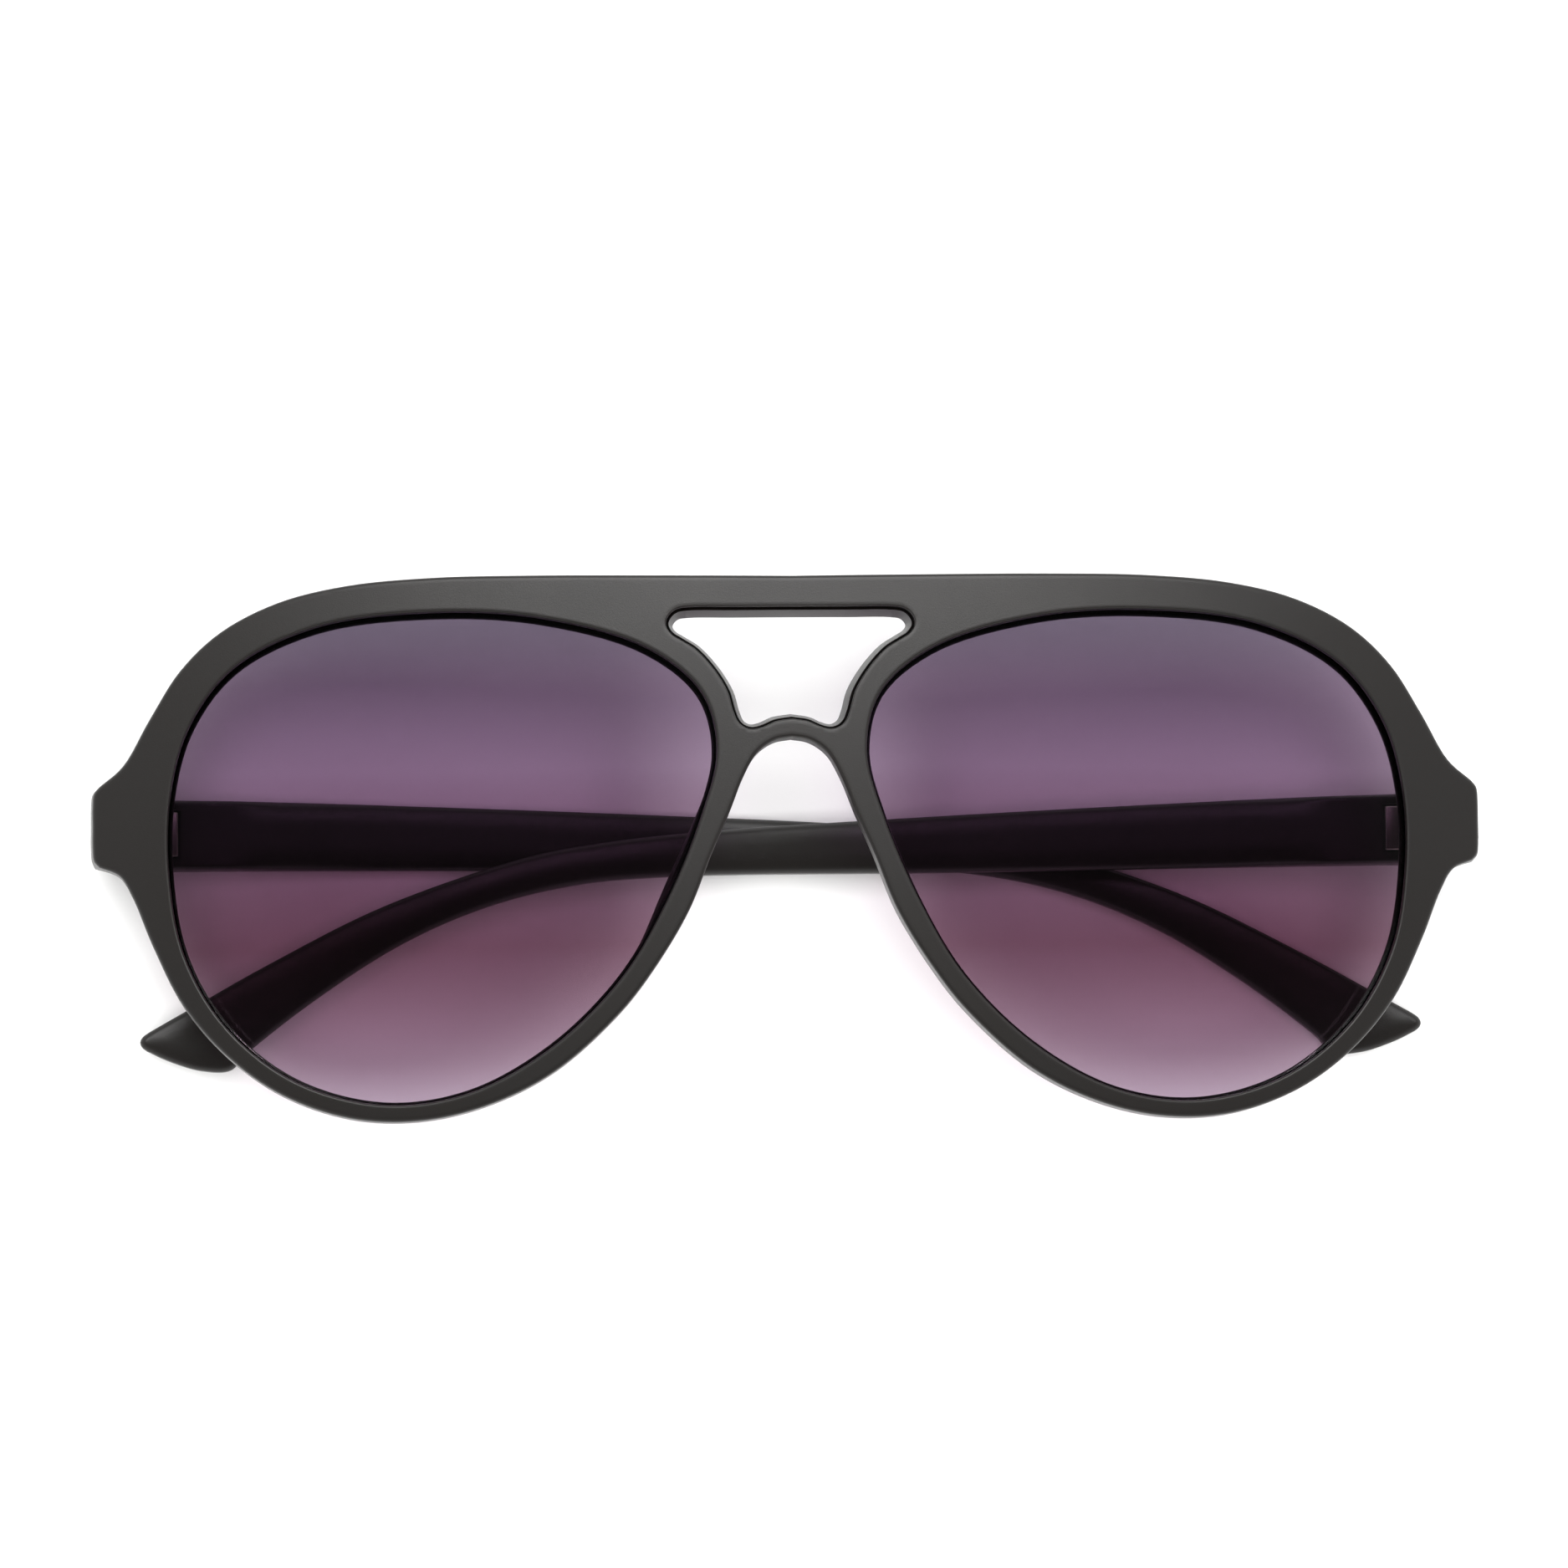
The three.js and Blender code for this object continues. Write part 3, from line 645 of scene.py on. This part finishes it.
# The knuckles, leaves and pockets of a hinge, and its screw.
BORE = 0.85
MIDDLE_KNUCKLE = 1.7
OUTER_KNUCKLE = 1.3
KNUCKLE_GAP = 0.3
OUTER_MIDDLE = (MIDDLE_KNUCKLE + OUTER_KNUCKLE) / 2 + KNUCKLE_GAP
HINGE_HALF = OUTER_MIDDLE + OUTER_KNUCKLE / 2
LEAF_PROUD = 0.3
LEAF_THICKNESS = 1.0
LEAF_HALF = 2.3
LEAF_BITE = 0.5
TEMPLE_LEAF_END = 3.5
FRONT_LEAF_END = 5.6
POCKET_HALF = 2.6
POCKET_DEEP = 1
POCKET_GAP = 0.3
FRONT_POCKET_LEAD = 1
TEMPLE_POCKET_LEAD = 0.5
CIRCLE_STEPS = 48
SCREW_HEAD_RADIUS = 1.0
SCREW_HEAD_HEIGHT = 0.6
SCREW_SLOT_DEPTH = 0.3
SCREW_SLOT_HALF = 0.15


def circle(radius):
    turns = [2 * math.pi * i / CIRCLE_STEPS for i in range(CIRCLE_STEPS)]
    return [Vector((radius * math.cos(a), radius * math.sin(a))) for a in turns]


def knuckle(middle, width):
    """A hinge knuckle with its arm: three quarters of an eye round the axis, which runs out along +X."""
    radius = size("barrel_radius")
    reach = size("hinge_inset") - LEAF_PROUD + LEAF_BITE
    end = radius + KNUCKLE_GAP + LEAF_BITE
    eye = circle(radius)[1 : CIRCLE_STEPS * 3 // 4 + 1]
    arm = [Vector((0, -reach)), Vector((end, -reach)), Vector((end, 0))]
    rim = [(0.2, 0), *eased(0.12, 2)]
    mouth = [(0.1, 0), *eased(0.06, 2)]
    bm = moulding([
        ([*eye, *arm], [*rim, *from_back(rim, width)], False),
        (circle(BORE), [*mouth, *from_back(mouth, width)], True),
    ])
    # the outline was drawn across the axis; its depth becomes the width along Y
    upright = Matrix.Rotation(math.pi / 2, 4, "X")
    bmesh.ops.transform(bm, matrix=Matrix.Translation((0, middle - width / 2, 0)) @ upright, verts=bm.verts)
    return bm


def hinge_leaf(name, middles, width, plate_end, place):
    """A plate let into the plastic, and its knuckles."""
    face = size("hinge_inset") - LEAF_PROUD
    start = size("barrel_radius") + KNUCKLE_GAP
    plate = block((start, -LEAF_HALF, -face - LEAF_THICKNESS), (plate_end, LEAF_HALF, -face), 0.15)
    piece = placed(plate, name, place)
    for middle in middles:
        boolean(piece, placed(knuckle(middle, width), "knuckle", place), "UNION")
    return piece


def screw(name, place):
    """A cheese-head screw with a straight slot, its axis along Y."""
    head = HINGE_HALF + KNUCKLE_GAP
    radius, wide, top = size("screw_radius"), SCREW_HEAD_RADIUS, head + SCREW_HEAD_HEIGHT
    profile = [
        (0, -HINGE_HALF), (radius - 0.1, -HINGE_HALF), (radius, 0.1 - HINGE_HALF), (radius, head),
        (wide - 0.05, head), (wide, head + 0.05), (wide, top - 0.2), (wide - 0.07, top - 0.08),
        (wide - 0.22, top), (0, top),
    ]
    bm = bmesh.new()
    points = [bm.verts.new((x, y, 0)) for x, y in profile]
    edges = [bm.edges.new(pair) for pair in zip(points, points[1:])]
    bmesh.ops.spin(
        bm,
        geom=[*points, *edges],
        axis=(0, 1, 0),
        cent=(0, 0, 0),
        angle=2 * math.pi,
        steps=CIRCLE_STEPS,
        use_merge=True,
    )
    bmesh.ops.remove_doubles(bm, verts=bm.verts, dist=1e-4)
    bmesh.ops.recalc_face_normals(bm, faces=bm.faces)
    piece = placed(bm, name, place)
    slot = block((-2, top - SCREW_SLOT_DEPTH, -SCREW_SLOT_HALF), (2, top + 1.4, SCREW_SLOT_HALF))
    boolean(piece, placed(slot, "slot", place), "DIFFERENCE")
    return piece


def build_hinge(name, material):
    side = SIDES[name]
    at_axis = Matrix.Translation((0, HINGE_Y, 0))
    on_temple = temple_place(name) @ at_axis
    # the front leaf is the temple leaf turned to run up the endpiece
    stand = Matrix.Rotation(math.pi / 2, 4, "Y") @ Matrix.Diagonal((-1, 1, -1, 1))
    mirror = Matrix.Diagonal((side, 1, 1, 1))
    on_front = front_place() @ mirror @ Matrix.Translation((HINGE_X, HINGE_Y, 0)) @ stand
    at_screw = front_place() @ Matrix.Translation((side * HINGE_X, HINGE_Y, 0))
    outer = [-OUTER_MIDDLE, OUTER_MIDDLE]
    leaf = hinge_leaf(f"temple_leaf_{name}", [0], MIDDLE_KNUCKLE, TEMPLE_LEAF_END, on_temple)
    fixed = hinge_leaf(f"front_leaf_{name}", outer, OUTER_KNUCKLE, FRONT_LEAF_END, on_front)
    pin = screw(f"slotted_screw_{name}", at_screw)
    for piece, node, body in (
        (leaf, f"temple_hinge_{name}", f"temple_{name}"),
        (fixed, f"front_hinge_{name}", "front"),
        (pin, f"hinge_screw_{name}", "front"),
    ):
        dressed(piece, material)
        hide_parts(node)
        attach(piece, body)


# ---------------------------------------------------------------- finishes


def node(tree, kind, inputs=(), **settings):
    """Adds a node, sets its properties, and fills or links its inputs."""
    made = tree.nodes.new(kind)
    for key, value in settings.items():
        setattr(made, key, value)
    for key, value in dict(inputs).items():
        socket = made.inputs[key]
        if isinstance(value, bpy.types.NodeSocket):
            tree.links.new(value, socket)
        else:
            socket.default_value = value
    return made


def new_finish(name):
    """An empty node material and its output."""
    material = bpy.data.materials.new(name)
    material.use_nodes = True
    material.node_tree.nodes.clear()
    return material, material.node_tree, material.node_tree.nodes.new("ShaderNodeOutputMaterial")


def cycles_per_metre(size_mm):
    """Texture scale that gives a grain of so many millimetres."""
    return 1 / (size_mm * MM)


def soft_touch_finish():
    """Injection-moulded nylon with soft-touch paint: near black and matt, with a dull sheen and a dry grain."""
    material, tree, output = new_finish("soft_touch_painted_nylon")
    place = node(tree, "ShaderNodeTexCoord").outputs["Object"]
    cloud = node(tree, "ShaderNodeTexNoise", {"Vector": place, "Scale": cycles_per_metre(14), "Detail": 3.0})
    tone = node(
        tree,
        "ShaderNodeMix",
        {
            "Factor": cloud.outputs["Fac"],
            "A": finish_colour("frame_black"),
            "B": finish_colour("frame_shade"),
        },
        data_type="RGBA",
    )
    # the paint's grain is about 0.05 mm; it is drawn at 0.14 mm so that it shows
    scale = cycles_per_metre(0.14)
    grain = node(tree, "ShaderNodeTexNoise", {"Vector": place, "Scale": scale, "Detail": 2.0})
    bump = node(
        tree, "ShaderNodeBump", {"Height": grain.outputs["Fac"], "Strength": 0.25, "Distance": 0.03 * MM}
    )
    rough = node(
        tree,
        "ShaderNodeMapRange",
        {"Value": cloud.outputs["Fac"], "To Min": 0.36, "To Max": 0.44},
    )
    shader = node(
        tree,
        "ShaderNodeBsdfPrincipled",
        {
            "Base Color": tone.outputs["Result"],
            "Roughness": rough.outputs["Result"],
            "IOR": 1.48,
            "Normal": bump.outputs["Normal"],
        },
    )
    tree.links.new(shader.outputs["BSDF"], output.inputs["Surface"])
    return material


def lens_finish():
    """Dip-tinted polycarbonate: a smoke violet that is deep at the brow and fades to rose at the cheek, with
    painted shade of the temples' shadows below the middle.
    """
    material, tree, output = new_finish("gradient_tinted_polycarbonate")
    place = node(tree, "ShaderNodeTexCoord").outputs["Object"]
    height = node(tree, "ShaderNodeSeparateXYZ", {"Vector": place}).outputs["Y"]
    low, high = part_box("lens_left")[0].y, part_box("lens_left")[1].y
    share = node(tree, "ShaderNodeMapRange", {"Value": height, "From Min": low, "From Max": high})
    tint = node(tree, "ShaderNodeValToRGB", {"Fac": share.outputs["Result"]})
    stops = tint.color_ramp.elements
    stops[0].color = finish_colour("lens_cheek")
    stops[1].position = 0.97
    stops[1].color = finish_colour("lens_brow")
    stops.new(0.84).color = finish_colour("lens_upper")
    stops.new(0.68).color = finish_colour("lens_middle")
    # darker than the stops on either side: the rose tint plus painted shade of the temples' shadows on the
    # floor seen through the lens
    stops.new(0.32).color = finish_colour("lens_rose_and_temple_shadow")
    stops.new(0.14).color = finish_colour("lens_blush")
    through = node(tree, "ShaderNodeBsdfTransparent", {"Color": tint.outputs["Color"]})
    gloss = node(tree, "ShaderNodeBsdfGlossy", {"Roughness": 0.03})
    fresnel = node(tree, "ShaderNodeFresnel", {"IOR": 1.55})
    both = node(
        tree,
        "ShaderNodeMixShader",
        {0: fresnel.outputs["Fac"], 1: through.outputs["BSDF"], 2: gloss.outputs["BSDF"]},
    )
    tree.links.new(both.outputs["Shader"], output.inputs["Surface"])
    return material


def nickel_finish():
    """Tumbled nickel silver: a warm grey metal with soft, fine brushing."""
    material, tree, output = new_finish("tumbled_nickel_silver")
    place = node(tree, "ShaderNodeTexCoord").outputs["Object"]
    # tumbling marks are about 0.05 mm; they are drawn at 0.12 mm so that they show
    scale = cycles_per_metre(0.12)
    marks = node(tree, "ShaderNodeTexNoise", {"Vector": place, "Scale": scale, "Detail": 3.0})
    bump = node(
        tree, "ShaderNodeBump", {"Height": marks.outputs["Fac"], "Strength": 0.2, "Distance": 0.02 * MM}
    )
    rough = node(tree, "ShaderNodeMapRange", {"Value": marks.outputs["Fac"], "To Min": 0.26, "To Max": 0.42})
    shader = node(
        tree,
        "ShaderNodeBsdfPrincipled",
        {
            "Base Color": finish_colour("nickel"),
            "Metallic": 1.0,
            "Roughness": rough.outputs["Result"],
            "Normal": bump.outputs["Normal"],
        },
    )
    tree.links.new(shader.outputs["BSDF"], output.inputs["Surface"])
    return material


def floor_finish():
    """Smooth white card: matt, with a barely uneven tone."""
    material, tree, output = new_finish("white_card")
    place = node(tree, "ShaderNodeTexCoord").outputs["Object"]
    cloud = node(tree, "ShaderNodeTexNoise", {"Vector": place, "Scale": cycles_per_metre(60), "Detail": 2.0})
    rough = node(tree, "ShaderNodeMapRange", {"Value": cloud.outputs["Fac"], "To Min": 0.85, "To Max": 0.95})
    shader = node(
        tree,
        "ShaderNodeBsdfPrincipled",
        {
            "Base Color": finish_colour("floor"),
            "Roughness": rough.outputs["Result"],
            "Specular IOR Level": 0.1,
        },
    )
    tree.links.new(shader.outputs["BSDF"], output.inputs["Surface"])
    return material


# ---------------------------------------------------------------- stage


# Where the camera aims, from the middle of the sunglasses' height.
AIM = Vector((-0.85, 6.9, 6.3))


def place_camera():
    stage = bpy.context.scene.sunglasses_stage
    middle = (CAD_BOX[0] + CAD_BOX[1]) / 2
    target = AIM * MM + Vector((0, 0, middle.z))
    back = Vector((-math.sin(stage.lean_right), -math.sin(stage.lean_down), 0))
    back.z = math.sqrt(1 - back.length_squared)
    up = (Vector((0, 1, 0)) - back * back.y).normalized()
    turn = Matrix.Rotation(stage.roll, 3, back)
    up = turn.inverted() @ up
    right = up.cross(back)
    data = bpy.data.cameras.new("overhead_camera")
    data.sensor_width = 36
    data.lens = data.sensor_width * stage.distance / stage.view_width
    data.clip_start = 0.05
    data.clip_end = 10
    camera = bpy.data.objects.new("overhead_camera", data)
    bpy.context.scene.collection.objects.link(camera)
    facing = Matrix((right, up, back)).transposed().to_4x4()
    camera.matrix_world = Matrix.Translation(target + back * stage.distance) @ facing
    bpy.context.scene.camera = camera


def soft_box(name, place, width, height, watts):
    """A large soft light that looks at the sunglasses."""
    data = bpy.data.lights.new(name, "AREA")
    data.shape = "RECTANGLE"
    data.size = width
    data.size_y = height
    data.energy = watts
    light = bpy.data.objects.new(name, data)
    bpy.context.scene.collection.objects.link(light)
    light.location = place
    light.rotation_euler = (-Vector(place)).to_track_quat("-Z", "Y").to_euler()
    return light


def build_floor():
    bm = bmesh.new()
    bmesh.ops.create_grid(bm, x_segments=8, y_segments=8, size=3000)
    bmesh.ops.translate(bm, vec=(0, 0, -0.05), verts=bm.verts)
    floor = placed(bm, "floor", Matrix.Identity(4))
    floor.data.materials.append(floor_finish())


# The tent's rim, as heights on a unit sphere, and the light below and above it.
TENT_EDGE = (0.6, 0.82)
TENT_LIGHT = 1.1
CEILING_LIGHT = 0.05


def light_stage():
    # the strip over the brow only gives sheen, so that it throws no second shadow
    brow_strip = soft_box("light_brow", (0, 0.6, 1.15), 1.1, 0.36, 14)
    brow_strip.visible_diffuse = False
    # the overhead sheet lights the floor, and is kept out of the mirror of the lenses
    overhead = soft_box("light_overhead", (0, 0.06, 1.3), 1.2, 1.2, 34)
    overhead.visible_glossy = False
    world = bpy.data.worlds.new("light_tent")
    world.use_nodes = True
    tree = world.node_tree
    tree.nodes.clear()
    # a white tent all round that is open overhead, so that the lenses mirror a dark ceiling
    way = node(tree, "ShaderNodeTexCoord").outputs["Generated"]
    height = node(tree, "ShaderNodeSeparateXYZ", {"Vector": way}).outputs["Z"]
    tent = node(
        tree,
        "ShaderNodeMapRange",
        {
            "Value": height,
            "From Min": TENT_EDGE[0],
            "From Max": TENT_EDGE[1],
            "To Min": TENT_LIGHT,
            "To Max": CEILING_LIGHT,
        },
        interpolation_type="SMOOTHSTEP",
    )
    light = node(tree, "ShaderNodeBackground", {"Strength": tent.outputs["Result"]})
    node(tree, "ShaderNodeOutputWorld", {"Surface": light.outputs["Background"]})
    bpy.context.scene.world = world
    bpy.context.scene.view_settings.view_transform = "Standard"


# ---------------------------------------------------------------- operators


class SUNGLASSES_OT_front(bpy.types.Operator):
    """Build the one-piece moulded front with its endpieces and nose pads"""

    bl_idname = "sunglasses.front"
    bl_label = "Front"

    def execute(self, context):
        build_front(soft_touch_finish())
        return {"FINISHED"}


class SUNGLASSES_OT_lenses(bpy.types.Operator):
    """Build the two gradient lenses"""

    bl_idname = "sunglasses.lenses"
    bl_label = "Lenses"

    def execute(self, context):
        material = lens_finish()
        for name, side in SIDES.items():
            build_lens(name, side, material)
        return {"FINISHED"}


class SUNGLASSES_OT_temples(bpy.types.Operator):
    """Build the two folding temples"""

    bl_idname = "sunglasses.temples"
    bl_label = "Temples"

    def execute(self, context):
        material = soft_touch_finish()
        for name in SIDES:
            build_temple(name, material)
        return {"FINISHED"}


class SUNGLASSES_OT_hinges(bpy.types.Operator):
    """Build the leaves and the screws of the two hinges"""

    bl_idname = "sunglasses.hinges"
    bl_label = "Hinges"

    def execute(self, context):
        material = nickel_finish()
        for name in SIDES:
            build_hinge(name, material)
        return {"FINISHED"}


class SUNGLASSES_OT_stage(bpy.types.Operator):
    """Set up the camera, the floor and the lights"""

    bl_idname = "sunglasses.stage"
    bl_label = "Stage"

    def execute(self, context):
        place_camera()
        build_floor()
        light_stage()
        return {"FINISHED"}


OPERATORS = (
    SUNGLASSES_OT_stage,
    SUNGLASSES_OT_front,
    SUNGLASSES_OT_lenses,
    SUNGLASSES_OT_temples,
    SUNGLASSES_OT_hinges,
)


class SUNGLASSES_PT_panel(bpy.types.Panel):
    """Lists the steps that build the sunglasses"""

    bl_idname = "SUNGLASSES_PT_panel"
    bl_label = "Aviator sunglasses"
    bl_space_type = "VIEW_3D"
    bl_region_type = "UI"
    bl_category = "Sunglasses"

    def draw(self, context):
        for operator in OPERATORS:
            self.layout.operator(operator.bl_idname)


GROUPS = {
    "sunglasses_sizes": SunglassesSizes,
    "sunglasses_finish": SunglassesFinish,
    "sunglasses_stage": SunglassesStage,
}


def register():
    for cls in (*GROUPS.values(), *OPERATORS, SUNGLASSES_PT_panel):
        bpy.utils.register_class(cls)
    for name, cls in GROUPS.items():
        setattr(bpy.types.Scene, name, bpy.props.PointerProperty(type=cls))


def unregister():
    for name in GROUPS:
        delattr(bpy.types.Scene, name)
    for cls in (SUNGLASSES_PT_panel, *reversed(OPERATORS), *GROUPS.values()):
        bpy.utils.unregister_class(cls)


def main():
    register()
    bpy.ops.sunglasses.stage()
    bpy.ops.sunglasses.front()
    bpy.ops.sunglasses.lenses()
    bpy.ops.sunglasses.temples()
    bpy.ops.sunglasses.hinges()


if __name__ == "__main__":
    main()
